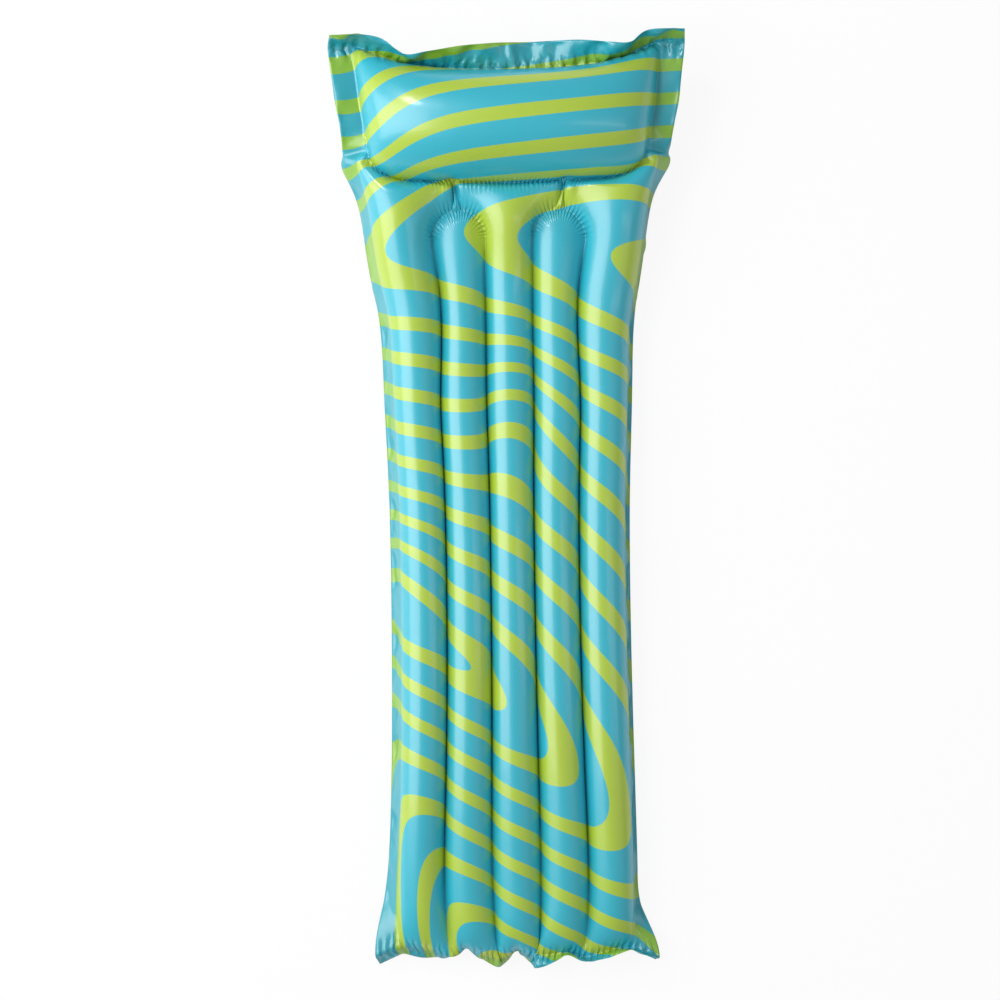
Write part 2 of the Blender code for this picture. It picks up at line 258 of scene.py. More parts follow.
# Lamps: name, place, aim, width and height, and power
LAMPS = (
    ("left_softbox", (-2.9, 0.4, 2.3), (0, 0.1, 0), (3.0, 4.0), 128),
    ("left_key", (-1.5, 2.2, 2.6), (0, 0.3, 0), (0.5, 0.5), 22),
    ("right_fill", (2.6, -0.4, 3.2), (0, 0, 0), (0.5, 3.0), 9),
)

# Sky's strength, on the whole and in reflections
SKY = 0.49
SKY_IN_GLOSS = 0.26

# Camera
CAMERA_TARGET = (-0.022, 0.008, 0.05)
CAMERA_HEIGHT = 4.44
CAMERA_LEFT = 0.10
CAMERA_ROLL = math.radians(-0.77)
CAMERA_LENS = 85
CAMERA_SENSOR = 36

# Worked out from the sizes above
CHAMBER_HALF = SHEET_WIDTH / 2 - SIDE_FLANGE
TUBE_PITCH = 2 * CHAMBER_HALF / TUBES
TUBES_START = FOOT_FLANGE + FOOT_OPENING
HEAD_WELD = SHEET_LENGTH - HEAD_FLANGE
SEAM_RISE = PILLOW_DEPTH - PILLOW_SIDE
SEAM_LOW = HEAD_WELD - PILLOW_DEPTH
SEAM_END = HEAD_WELD - PILLOW_SIDE
ARCH_CENTRE = SEAM_LOW - NECK - TUBE_PITCH / 2
SEED_FOOT_WAVE = (0.010, TUBE_PITCH * SEED_FOOT_PITCH, 0.6, 0.10)


def smooth(value, low, high):
    """0 below low, 1 above high, and a smooth rise between them."""
    part = np.clip((value - low) / (high - low), 0, 1)
    return part * part * (3 - 2 * part)


def bell(half):
    """Weights of a smooth bell over 2 * half + 1 places, which add up to 1."""
    weights = np.hanning(2 * half + 1)
    return weights / weights.sum()


def seam(across):
    """Along-place of the pillow seam."""
    part = np.clip(np.abs(across) / CHAMBER_HALF, 0, 1)
    return SEAM_LOW + SEAM_RISE * (1 - np.sqrt(np.maximum(0, 1 - part ** SEAM_POWER)))


def seam_distance(across, along):
    return along - seam(across)


def arch_distance(across, along):
    """Distance from the nearer arched weld, which closes the top of the second or fourth tube."""
    centre = np.where(across < 0, -TUBE_PITCH, TUBE_PITCH)
    return np.hypot(across - centre, along - ARCH_CENTRE) - TUBE_PITCH / 2


def give(along):
    """How far the vinyl gives across, at this along-place."""
    head = smooth(along, ARCH_CENTRE - HEAD_GIVE_START, SEAM_END - HEAD_GIVE_END)
    waist = WAIST_GIVE * np.exp(-((along - WAIST_PLACE) / WAIST_RUN) ** 2)
    foot = np.exp(-along / FOOT_RUN)
    pinch = 1 - SEAM_PINCH * np.exp(-((along - SEAM_END + SEAM_PINCH_RUN / 2) / SEAM_PINCH_RUN) ** 2)
    body = BODY_GIVE + (HEAD_GIVE - BODY_GIVE) * head + (FOOT_GIVE - BODY_GIVE) * foot
    return (body + waist) * pinch


def stretched(across, along):
    """The place's two coordinates after the vinyl has given, from which lengths are measured."""
    pinch = ARCH_PINCH * smooth(along, ARCH_CENTRE - ARCH_PINCH_RUN, ARCH_CENTRE)
    pinch = pinch * (1 - smooth(along, SEAM_LOW, SEAM_LOW + ARCH_PINCH_FADE))
    inner = 1.5 * TUBE_PITCH
    size = np.abs(across)
    outer = inner * (1 - pinch) + (size - inner) * (1 + pinch * inner / (CHAMBER_HALF - inner))
    size = np.where(size < inner, size * (1 - pinch), np.where(size < CHAMBER_HALF, outer, size))
    return np.sign(across) * size * give(along), along


def spaced(stops, step):
    """Places from stop to stop, each stretch divided evenly at about this step."""
    places = [stops[0]]
    for low, high in zip(stops, stops[1:]):
        count = max(1, round((high - low) / step))
        places += [low + (high - low) * k / count for k in range(1, count + 1)]
    return np.array(places)


def onto_curve(distance, across, along):
    """Places moved onto the curve where this distance is 0."""
    step = 0.0001
    flattest = 0.001
    rounds = 4
    for _ in range(rounds):
        slope_u = (distance(across + step, along) - distance(across - step, along)) / (2 * step)
        slope_v = (distance(across, along + step) - distance(across, along - step)) / (2 * step)
        size = np.maximum(slope_u ** 2 + slope_v ** 2, flattest)
        off = distance(across, along)
        across = across - off * slope_u / size
        along = along - off * slope_v / size
    return across, along


def neighbours():
    """Slices of a grid and of the grid one step along it, for each of its two directions."""
    return (
        ((ALL, slice(0, -1)), (ALL, slice(1, None))),
        ((slice(0, -1), ALL), (slice(1, None), ALL)),
    )


class Pattern:
    """The sheets' grid of places, with the welds running through its points."""

    def __init__(self, coarseness):
        tube_edges = [-CHAMBER_HALF + TUBE_PITCH * tube for tube in range(TUBES + 1)]
        step = CELL * coarseness
        self.columns = spaced([-SHEET_WIDTH / 2] + tube_edges + [SHEET_WIDTH / 2], step)
        self.rows = spaced([0, FOOT_FLANGE, TUBES_START, HEAD_WELD, SHEET_LENGTH], step)
        u, v = np.meshgrid(self.columns, self.rows)
        inside = (np.abs(u) < CHAMBER_HALF - TINY) & (v > FOOT_FLANGE + TINY) & (v < HEAD_WELD - TINY)
        self.flange = ~inside
        self.fused = self.flange.copy()
        arms = (v >= TUBES_START - TINY) & (v <= ARCH_CENTRE + TINY)
        for edge in tube_edges[1:-1]:
            column = np.argmin(np.abs(self.columns - edge))
            self.fused[:, column] |= arms[:, column]
        self.u, self.v = self.snapped(u, v, inside)

    def snapped(self, u, v, inside):
        """The grid's places: the ones nearest to each curved weld move onto it, the rest follow."""
        straight = self.fused.copy()
        move = np.zeros((2,) + u.shape)
        curved = ((seam_distance, inside), (arch_distance, inside & (v > ARCH_CENTRE + TINY)))
        for distance, region in curved:
            off = distance(u, v)
            near = (np.abs(off) < TINY) & region
            for a, b in neighbours():
                crossed = (off[a] * off[b] < 0) & (region[a] | region[b])
                nearer = np.abs(off[a]) <= np.abs(off[b])
                near[a] |= crossed & nearer
                near[b] |= crossed & ~nearer
            near &= region & ~straight
            on_u, on_v = onto_curve(distance, u, v)
            move = np.where(near, (on_u - u, on_v - v), move)
            self.fused |= near
        for _ in range(SNAP_ROUNDS):
            spread = move.copy()
            around = move[:, :-2, 1:-1] + move[:, 2:, 1:-1] + move[:, 1:-1, :-2] + move[:, 1:-1, 2:]
            spread[:, 1:-1, 1:-1] = around / 4
            move = np.where(self.fused, move, spread * SNAP_SHARE)
        return u + move[0], v + move[1]


class Bag:
    """Two sheets on one pattern, which air pushes apart and their own lengths hold together."""

    def __init__(self, coarseness):
        self.pattern = Pattern(coarseness)
        pattern = self.pattern
        self.flat = np.array(stretched(pattern.u, pattern.v), np.float32)
        self.place = np.zeros((3, 2) + pattern.u.shape, np.float32)
        self.place[:2] = self.flat[:, None]
        widths = np.gradient(pattern.columns)
        depths = np.gradient(pattern.rows)
        self.cell = (depths[:, None] * widths[None, :]).astype(np.float32)
        self.threads = list(self.make_threads())
        self.make_holds()

    def make_threads(self):
        """Grid edges and diagonals in sets that share no point, with rest length and stiffness."""
        pattern = self.pattern
        rows, columns = pattern.u.shape
        for start in (0, 1):
            low, high = slice(start, rows - 1, 2), slice(start + 1, rows, 2)
            left, right = slice(start, columns - 1, 2), slice(start + 1, columns, 2)
            yield self.thread((ALL, left), (ALL, right), None)
            yield self.thread((low, ALL), (high, ALL), None)
            first, last = slice(0, columns - 1), slice(1, columns)
            yield self.thread((low, first), (high, last), ((low, last), (high, first)))
            yield self.thread((low, last), (high, first), ((low, first), (high, last)))

    def thread(self, a, b, other):
        """One set, whose diagonals are dropped where a weld runs along the other diagonal."""
        pattern = self.pattern
        rest = np.hypot(*(self.flat[(ALL,) + a] - self.flat[(ALL,) + b]))
        keep = np.ones(rest.shape)
        if other is not None:
            fused = pattern.fused
            keep = 1 - (fused[other[0]] & fused[other[1]] & ~fused[a] & ~fused[b])
        both_flange = pattern.flange[a] & pattern.flange[b]
        at_side = (pattern.v[a] > FOOT_FLANGE + WELD_MARGIN) & (pattern.v[a] < HEAD_WELD - WELD_MARGIN)
        flange_push = np.where(at_side, COMPRESSION_SIDE, COMPRESSION_FLANGE)
        push_back = np.where(both_flange, flange_push, COMPRESSION_SHEET)
        whole = (ALL, ALL)
        return (
            whole + a,
            whole + b,
            rest.astype(np.float32),
            (0.5 * keep * push_back).astype(np.float32),
            (0.5 * keep * STRETCH_STIFFNESS).astype(np.float32),
        )

    def side_flanges(self):
        """Each side, its flange's columns, and the weld's column that the flange hangs from."""
        columns = self.pattern.columns
        for side in (-1, 1):
            yield side, side * columns > CHAMBER_HALF, int(np.argmin(np.abs(columns - side * CHAMBER_HALF)))

    def make_holds(self):
        """Where the side flanges hang, and how firmly the welds keep to one plane."""
        pattern = self.pattern
        v = pattern.rows
        to_head = smooth(v, SEAM_END - HANG_FADE_BELOW, SEAM_END + HANG_FADE_ABOVE)
        self.reach = []
        for side, columns, weld in self.side_flanges():
            from_foot = 1 - np.exp(-np.maximum(v - FOOT_FLANGE, 0) / FLANGE_RUN[side])
            angle = FLANGE_HANG[side] * from_foot * (1 - to_head) - CORNER_RISE * to_head
            angle = angle[:, None]
            beyond = (np.abs(pattern.columns[columns]) - CHAMBER_HALF)[None, :] * give(v)[:, None]
            self.reach.append((columns, weld, 0, (side * np.cos(angle) * beyond).astype(np.float32)))
            self.reach.append((columns, weld, 2, (-np.sin(angle) * beyond).astype(np.float32)))
        self.hang = (HANG * smooth(v, 0, FOOT_FLANGE))[:, None].astype(np.float32)
        welds = pattern.fused & (np.abs(pattern.u) <= CHAMBER_HALF + TINY)
        welds &= (pattern.v > FOOT_FLANGE + WELD_MARGIN) & (pattern.v < HEAD_WELD - WELD_MARGIN)
        self.settle = (SETTLE * welds).astype(np.float32)

    def air_push(self):
        """Each point's outward area vector."""
        place = self.place
        du = np.zeros_like(place)
        dv = np.zeros_like(place)
        du[..., 1:-1] = place[..., 2:] - place[..., :-2]
        dv[..., 1:-1, :] = place[..., 2:, :] - place[..., :-2, :]
        push = np.cross(du, dv, axis=0) / 4
        push[:, 1] *= -1
        return push

    def unbend(self, amount):
        """Smooths curvature a little, as the vinyl's stiffness does."""
        place = self.place
        for _ in range(2):
            bent = np.zeros_like(place)
            bent[..., 1:-1] += place[..., 2:] + place[..., :-2] - 2 * place[..., 1:-1]
            bent[..., 1:-1, :] += place[..., 2:, :] + place[..., :-2, :] - 2 * place[..., 1:-1, :]
            place = bent
        self.place = self.place - amount * place / 8

    def fuse(self):
        """Brings the two sheets together where they are welded."""
        middle = (self.place[:, 0] + self.place[:, 1]) / 2
        self.place = np.where(self.pattern.fused, middle[:, None], self.place)

    def pull_threads(self):
        for a, b, rest, push_back, pull in self.threads:
            start, end = self.place[a], self.place[b]
            span = end - start
            length = np.maximum(np.sqrt((span * span).sum(0)), SHORTEST)
            part = (length - rest) / length
            span *= np.where(part < 0, part * push_back, part * pull)
            start += span
            end -= span

    def seed(self):
        """A small start: the sheets a little apart, and the flanges a little wavy."""
        u, v = self.pattern.u, self.pattern.v
        apart = np.where(self.pattern.fused, 0.0, 1.0)
        for _ in range(SEED_ROUNDS):
            around = apart[:-2, 1:-1] + apart[2:, 1:-1] + apart[1:-1, :-2] + apart[1:-1, 2:]
            apart[1:-1, 1:-1] = np.where(self.pattern.fused[1:-1, 1:-1], 0, around / 4)
        wave = np.zeros(u.shape)
        for from_end, seed in ((v, SEED_FOOT_WAVE), (SHEET_LENGTH - v, SEED_HEAD_WAVE)):
            height, length, phase, reach = seed
            fade = np.clip(1 - from_end / reach, 0, 1)
            wave += height * fade * np.sin(2 * np.pi * u / length + phase)
        self.place[2, 0] = SEED_GAP * apart + wave
        self.place[2, 1] = -SEED_GAP * apart + wave

    def inflate(self, steps, rounds, pressure, stiffness):
        """Steps of air, stiffness, thread lengths, hanging flanges and the ground."""
        before = self.place.copy()
        for _ in range(steps):
            motion = (self.place - before) * DAMPING
            before = self.place.copy()
            self.place = self.place + motion + self.air_push() / self.cell * pressure
            self.unbend(stiffness)
            for _ in range(rounds):
                self.pull_threads()
                self.fuse()
            for columns, weld, axis, reach in self.reach:
                for sheet in self.place[axis]:
                    aim = sheet[:, weld:weld + 1] + reach
                    sheet[:, columns] += self.hang * (aim - sheet[:, columns])
            self.place[2] -= self.settle * self.place[2]
            ground = -weld_level(self.place[1] - self.place[1].min())
            np.maximum(self.place[2], ground.astype(np.float32), out=self.place[2])

    def straighten(self):
        """Moves each row sideways so that the middle of its tubes is on the centre line."""
        middles = np.abs(self.pattern.columns) < MIDDLE_TUBES * TUBE_PITCH
        drift = self.place[0, 0][:, middles].mean(1)
        drift = np.convolve(np.pad(drift, STRAIGHTENING, mode="edge"), bell(STRAIGHTENING), mode="valid")
        self.place[0] -= drift[None, :, None]

    def ease_creases(self):
        """Smooths kinks that run straight across a tube, and leaves the welds where they are."""
        free = ~self.pattern.fused & (self.pattern.v < SEAM_LOW - WELD_MARGIN)
        part = EASING_SHARE * free[1:-1].astype(np.float32)
        moved = self.place.copy()
        moved[:2] -= self.flat[:, None]
        for _ in range(EASING):
            moved[..., 1:-1, :] += part * (moved[..., 2:, :] + moved[..., :-2, :] - 2 * moved[..., 1:-1, :])
        moved[:2] += self.flat[:, None]
        self.place = moved

    def calm_flanges(self):
        """Takes sharp folds out of the side flanges, which the ruffles below then replace."""
        rows = self.pattern.rows
        at_side = smooth(rows, FOOT_FLANGE, FOOT_FLANGE + CALM_FROM_FOOT)
        at_side = at_side * (1 - smooth(rows, SEAM_END - CALM_FROM_SEAM, SEAM_END))
        for _, columns, weld in self.side_flanges():
            for sheet in (0, 1):
                root = self.place[:, sheet, :, weld:weld + 1]
                offset = self.place[:, sheet][:, :, columns] - root
                padded = np.pad(offset, ((0, 0), (CALMING, CALMING), (0, 0)), mode="edge")
                calm = sum(part * padded[:, k:k + len(rows)] for k, part in enumerate(bell(CALMING)))
                offset += (calm - offset) * at_side[:, None]
                self.place[:, sheet, :, columns] = np.moveaxis(root + offset, 2, 0)

    def open_corners(self):
        """Lays the flange's foot corners out flat."""
        opened = 1 - smooth(self.pattern.rows, FOOT_FLANGE, CORNER_REACH * FOOT_FLANGE)[:, None]
        for side, columns, weld in self.side_flanges():
            beyond = np.abs(self.pattern.columns[columns])[None, :] - CHAMBER_HALF
            for sheet in (0, 1):
                root = self.place[:, sheet, :, weld:weld + 1]
                flat = np.stack((side * beyond * CORNER_ACROSS, CORNER_ALONG * beyond, 0 * beyond)) + root
                now = self.place[:, sheet][:, :, columns]
                self.place[:, sheet, :, columns] = np.moveaxis(now + (flat - now) * opened, 2, 0)

    def ruffle(self):
        """Waves along the flange's free edges, where the welds have drawn its other edge short."""
        u, v = self.pattern.u, self.pattern.v
        push = self.air_push()[:, 0]
        out = push / np.maximum(np.sqrt((push ** 2).sum(0)), SHORTEST)
        side = smooth(np.abs(u), CHAMBER_HALF, SHEET_WIDTH / 2)
        side = side * smooth(v, FOOT_FLANGE, SIDE_WAVE_START) * (1 - smooth(v, SEAM_END, HEAD_WELD))
        head = smooth(v, HEAD_WELD, SHEET_LENGTH)
        foot = 1 - smooth(v, 0, FOOT_FLANGE)
        for part, place, waves in ((side, v, SIDE_WAVES), (head, u, HEAD_WAVES), (foot, u, FOOT_WAVES)):
            high, long, low, short = waves
            phase = WAVE_DRIFT * np.sin(WAVE_DRIFT_TURNS * place + np.sign(u) * part)
            wave = high * np.sin(2 * np.pi * place / long + phase)
            wave += low * np.sin(2 * np.pi * place / short + SHORT_WAVE_DRIFT * phase)
            self.place += (part * wave * out)[:, None].astype(np.float32)
        np.maximum(self.place[2], -weld_level(self.place[1] - self.place[1].min()), out=self.place[2])

    def pinch(self):
        """Draws the sheets together between the pillow seam and the top of each arched weld."""
        u, v = self.pattern.u, self.pattern.v
        top = ARCH_CENTRE + TUBE_PITCH / 2
        lean = PINCH_LEAN * (v - top)
        start = [top + off for off in PINCH_START]
        end = [SEAM_LOW + off for off in PINCH_END]
        across = np.exp(-((np.abs(u - lean) - TUBE_PITCH) / PINCH_HALF) ** 2)
        along = smooth(v, *start) * (1 - smooth(v, *end))
        free = ~self.pattern.fused
        drop = PINCH_DEPTH * across * along * free
        self.place[2, 0] -= drop.astype(np.float32)
        self.place[2, 1] += (PINCH_BELOW * drop).astype(np.float32)

    def refined(self, coarseness):
        """The same shape on a finer grid."""
        fine = Bag(coarseness)
        old = self.pattern
        at_u = np.interp(fine.pattern.u, old.columns, np.arange(len(old.columns)))
        at_v = np.interp(fine.pattern.v, old.rows, np.arange(len(old.rows)))
        column = np.clip(at_u.astype(int), 0, len(old.columns) - 2)
        row = np.clip(at_v.astype(int), 0, len(old.rows) - 2)
        right, up = at_u - column, at_v - row
        moved = self.place.copy()
        moved[:2] -= self.flat[:, None]
        fine.place += (
            moved[..., row, column] * (1 - right) * (1 - up)
            + moved[..., row, column + 1] * right * (1 - up)
            + moved[..., row + 1, column] * (1 - right) * up
            + moved[..., row + 1, column + 1] * right * up
        ).astype(np.float32)
        fine.fuse()
        return fine


def weld_level(along):
    """Height of the weld plane over the ground."""
    return BODY_LEVEL + (PILLOW_LEVEL - BODY_LEVEL) * smooth(along, LIFT_START, LIFT_END)


def inflated_bag():
    """The bag blown up level by level, smoothed, creased, and placed over the frame's box."""
    levels = LEVELS
    bag = None
    for coarseness, *run in levels:
        if bag is None:
            bag = Bag(coarseness)
            bag.seed()
        else:
            bag = bag.refined(coarseness)
        bag.inflate(*run)
    bag.straighten()
    bag.ease_creases()
    bag.calm_flanges()
    bag.open_corners()
    bag.ruffle()
    bag.pinch()
    foot = bag.place[1].min()
    length = bag.place[1].max() - foot
    cad_low, cad_high = CAD_BOX
    bag.place[0] -= (bag.place[0].max() + bag.place[0].min()) / 2
    bag.place[2] += weld_level(bag.place[1] - foot) + OFF_GROUND
    bag.place[1] = cad_low.y + (bag.place[1] - foot) * (cad_high.y - cad_low.y) / length
    return bag


def linked_object(name, data):
    obj = bpy.data.objects.new(name, data)
    bpy.context.scene.collection.objects.link(obj)
    return obj


def sheet_faces(pattern):
    """The grid's quads, split where a weld crosses one from corner to corner."""
    rows, columns = pattern.u.shape
    index = np.arange(rows * columns).reshape(rows, columns)
    fused = pattern.fused.ravel()
    faces = []
    quads = np.stack([index[:-1, :-1], index[:-1, 1:], index[1:, 1:], index[1:, :-1]], -1).reshape(-1, 4)
    for a, b, c, d in quads.tolist():
        held = (fused[a], fused[b], fused[c], fused[d])
        if held == (True, False, True, False):
            faces += [(a, b, c), (a, c, d)]
        elif held == (False, True, False, True):
            faces += [(a, b, d), (b, c, d)]
        else:
            faces.append((a, b, c, d))
    return faces


def weld_edges(mesh, pattern):
    """Which edges run along a weld."""
    u, v = np.abs(pattern.u).ravel(), pattern.v.ravel()
    in_length = (v >= FOOT_FLANGE - TINY) & (v <= HEAD_WELD + TINY)
    border = (np.abs(u - CHAMBER_HALF) < TINY) & in_length
    at_end = (np.abs(v - FOOT_FLANGE) < TINY) | (np.abs(v - HEAD_WELD) < TINY)
    border |= at_end & (u <= CHAMBER_HALF + TINY)
    on_weld = border | (pattern.fused & ~pattern.flange).ravel()
    ends = np.zeros(2 * len(mesh.edges), int)
    mesh.edges.foreach_get("vertices", ends)
    ends = ends.reshape(-1, 2)
    return on_weld[ends[:, 0]] & on_weld[ends[:, 1]]


def sheet_object(name, bag, layer, material):
    """One sheet's surface, subdivided once, with its flat places as its UV map."""
    pattern = bag.pattern
    mesh = bpy.data.meshes.new(name)
    faces = sheet_faces(pattern)
    if layer:
        faces = [face[::-1] for face in faces]
    mesh.from_pydata(bag.place[:, layer].reshape(3, -1).T.tolist(), [], faces)
    crease = mesh.attributes.new("crease_edge", "FLOAT", "EDGE")
    crease.data.foreach_set("value", weld_edges(mesh, pattern).astype(np.float32))
    corners = np.zeros(len(mesh.loops), int)
    mesh.loops.foreach_get("vertex_index", corners)
    flat = np.stack([pattern.u.ravel(), pattern.v.ravel()], 1)[corners]
    mesh.uv_layers.new(name="flat").data.foreach_set("uv", flat.astype(np.float32).ravel())
    coarse = linked_object(name, mesh)
    smoother = coarse.modifiers.new("smoother", "SUBSURF")
    smoother.levels = smoother.render_levels = 1
    smoother.uv_smooth = "NONE"
    smoother.boundary_smooth = "PRESERVE_CORNERS"
    fine = bpy.data.meshes.new_from_object(coarse.evaluated_get(bpy.context.evaluated_depsgraph_get()))
    bpy.data.objects.remove(coarse)
    bpy.data.meshes.remove(mesh)
    fine.name = name
    fine.shade_smooth()
    fine.materials.clear()
    fine.materials.append(material)
    return linked_object(name, fine)


def points_of(mesh):
    places = np.zeros(3 * len(mesh.vertices), np.float32)
    mesh.vertices.foreach_get("co", places)
    return places.reshape(-1, 3)


def set_points(mesh, places):
    mesh.vertices.foreach_set("co", places.astype(np.float32).ravel())
    mesh.update()


def normals_of(mesh):
    normals = np.zeros(3 * len(mesh.vertices), np.float32)
    mesh.vertex_normals.foreach_get("vector", normals)
    return normals.reshape(-1, 3)


def part_sheets(top, bottom):
    """Moves the two sheets apart by their thickness, and closes the rim between them."""
    for obj in (top, bottom):
        mesh = obj.data
        set_points(mesh, points_of(mesh) + normals_of(mesh) * (VINYL + GAP) / 2)
    below = points_of(bottom.data)
    bm = bmesh.new()
    bm.from_mesh(top.data)
    bm.verts.ensure_lookup_table()
    flat = bm.loops.layers.uv.active
    rim = [edge for edge in bm.edges if edge.is_boundary]
    under = {}
    for edge in rim:
        for vertex in edge.verts:
            if vertex.index not in under:
                under[vertex.index] = bm.verts.new(below[vertex.index])
    for edge in rim:
        loop = edge.link_loops[0]
        a, b = loop.vert, loop.link_loop_next.vert
        place_a, place_b = loop[flat].uv.copy(), loop.link_loop_next[flat].uv.copy()
        face = bm.faces.new((b, a, under[a.index], under[b.index]))
        face.smooth = True
        for corner, place in zip(face.loops, (place_b, place_a, place_a, place_b)):
            corner[flat].uv = place
    bm.to_mesh(top.data)
    bm.free()


class Shader:
    """A material's nodes, added by short calls that return sockets."""

    def __init__(self, name):
        self.material = bpy.data.materials.new(name)
        self.material.use_nodes = True
        self.tree = self.material.node_tree
        self.surface = self.tree.nodes["Principled BSDF"]

    def add(self, kind, **settings):
        node = self.tree.nodes.new(kind)
        for setting, value in settings.items():
            setattr(node, setting, value)
        return node

    def put(self, socket, value):
        if isinstance(value, bpy.types.NodeSocket):
            self.tree.links.new(value, socket)
        else:
            socket.default_value = value

    def math(self, operation, *values, clamp=False):
        node = self.add("ShaderNodeMath", operation=operation, use_clamp=clamp)
        for socket, value in zip(node.inputs, values):
            self.put(socket, value)
        return node.outputs[0]

    def mix(self, part, first, second, blend_type="MIX"):
        node = self.add("ShaderNodeMix", data_type="RGBA", blend_type=blend_type)
        self.put(node.inputs[0], part)
        for socket, value in ((node.inputs[6], first), (node.inputs[7], second)):
            self.put(socket, value if isinstance(value, bpy.types.NodeSocket) else (*value, 1))
        return node.outputs[2]

    def split(self, place):
        node = self.add("ShaderNodeSeparateXYZ")
        self.put(node.inputs[0], place)
        return node.outputs[:2]

    def join(self, x, y):
        node = self.add("ShaderNodeCombineXYZ")
        self.put(node.inputs[0], x)
        self.put(node.inputs[1], y)
        return node.outputs[0]

    def noise(self, vector, scale, detail=2.0):
        node = self.add("ShaderNodeTexNoise")
        self.put(node.inputs["Vector"], vector)
        self.put(node.inputs["Scale"], scale)
        self.put(node.inputs["Detail"], detail)
        return node.outputs[0]

    def bump(self, height, strength, distance, normal=None):
        node = self.add("ShaderNodeBump")
        self.put(node.inputs["Strength"], strength)
        self.put(node.inputs["Distance"], distance)
        self.put(node.inputs["Height"], height)
        if normal is not None:
            self.put(node.inputs["Normal"], normal)
        return node.outputs[0]

    def set(self, **values):
        for name, value in values.items():
            self.put(self.surface.inputs[name.replace("_", " ")], value)
        return self.material


class Stripes:
    """Fields over the flat sheet that count stripes, and soft lower and upper bounds of them."""

    def __init__(self, shader, flat):
        self.shader = shader
        self.across, self.along = shader.split(flat)

    def field(self, along, across, level):
        part = self.shader.math("MULTIPLY_ADD", self.across, across, level)
        return self.shader.math("MULTIPLY_ADD", self.along, along, part)

    def bent(self, field, across, along, wide, long, stripes):
        shader = self.shader
        off_across = shader.math("DIVIDE", shader.math("SUBTRACT", self.across, across), wide)
        off_along = shader.math("DIVIDE", shader.math("SUBTRACT", self.along, along), long)
        squared = shader.math("MULTIPLY", off_across, off_across)
        squared = shader.math("MULTIPLY_ADD", off_along, off_along, squared)
        fall = shader.math("EXPONENT", shader.math("MULTIPLY", squared, -1.0))
        return shader.math("MULTIPLY_ADD", fall, stripes, field)

    def lower(self, first, second, softness):
        return self.shader.math("SMOOTH_MIN", first, second, softness)

    def higher(self, first, second, softness):
        return self.shader.math("SMOOTH_MAX", first, second, softness)

    def count(self):
        """The stripe count: C shapes round the right shoulder, hairpins on a fold, arches at the foot."""
        left = self.bent(self.bent(self.field(*UPPER_LEFT), *NECK_BEND), *EDGE_BEND)
        shoulder = self.higher(left, self.field(*UPPER_RIGHT), SHOULDER_SOFTNESS)
        upper = self.higher(shoulder, self.field(*UPPER_EDGE), EDGE_SOFTNESS)
        pillow = self.bent(self.field(*PILLOW_BANDS), *PILLOW_DROP)
        foot = self.lower(self.field(*LOWER_RIGHT), self.field(*LOWER_EDGE), FOOT_SOFTNESS)
        return self.higher(self.lower(upper, pillow, PILLOW_SOFTNESS), foot, FOLD_SOFTNESS)


def stripe_part(shader, flat):
    """1 in the lime stripes and 0 between them, from the flat place."""
    count = Stripes(shader, flat).count()
    wave = shader.math("PINGPONG", count, 0.5)
    return shader.math("LESS_THAN", wave, LIME_PART / 2)


def pleats(shader, along_weld, off_weld, size):
    """Small folds square to a weld, irregular along it and fading away from it."""
    spacing, reach, depth = size
    drift = shader.noise(shader.join(along_weld, off_weld), PLEAT_DRIFT_SCALE)
    even = shader.math("MULTIPLY", along_weld, 2 * math.pi / spacing)
    turns = shader.math("MULTIPLY_ADD", drift, PLEAT_DRIFT, even)
    wave = shader.math("SINE", turns)
    part = shader.math("DIVIDE", off_weld, reach)
    fall = shader.math("EXPONENT", shader.math("MULTIPLY", shader.math("MULTIPLY", part, part), -1.0))
    return shader.math("MULTIPLY", shader.math("MULTIPLY", wave, fall), depth)


def fold_height(shader, flat):
    """Height of the pleats along the pillow seam, round the arched welds and at both ends."""
    across, along = shader.split(flat)
    size = shader.math("ABSOLUTE", across)
    part = shader.math("MINIMUM", shader.math("DIVIDE", size, CHAMBER_HALF), 1.0)
    round_off = shader.math("SQRT", shader.math("SUBTRACT", 1.0, shader.math("POWER", part, SEAM_POWER)))
    seam_place = shader.math("MULTIPLY_ADD", round_off, -SEAM_RISE, SEAM_LOW + SEAM_RISE)
    height = pleats(shader, across, shader.math("SUBTRACT", along, seam_place), SEAM_PLEAT)
    inward = shader.math("SUBTRACT", CHAMBER_HALF, size)
    in_chamber = shader.math("MULTIPLY", inward, CHAMBER_EDGE, clamp=True)
    height = shader.math("MULTIPLY", height, in_chamber)
    off = shader.math("SUBTRACT", size, TUBE_PITCH)
    up = shader.math("SUBTRACT", along, ARCH_CENTRE)
    round_weld = shader.math("MULTIPLY", shader.math("ARCTAN2", off, up), TUBE_PITCH / 2)
    squares = shader.math("MULTIPLY_ADD", off, off, shader.math("MULTIPLY", up, up))
    from_weld = shader.math("SUBTRACT", shader.math("SQRT", squares), TUBE_PITCH / 2)
    arch = pleats(shader, round_weld, from_weld, ARCH_PLEAT)
    above = shader.math("MULTIPLY", up, ARCH_EDGE, clamp=True)
    height = shader.math("MULTIPLY_ADD", arch, above, height)
    for weld, pleat in ((HEAD_WELD, HEAD_PLEAT), (FOOT_FLANGE, FOOT_PLEAT)):
        folds = pleats(shader, across, shader.math("SUBTRACT", along, weld), pleat)
        height = shader.math("ADD", height, folds)
    return height


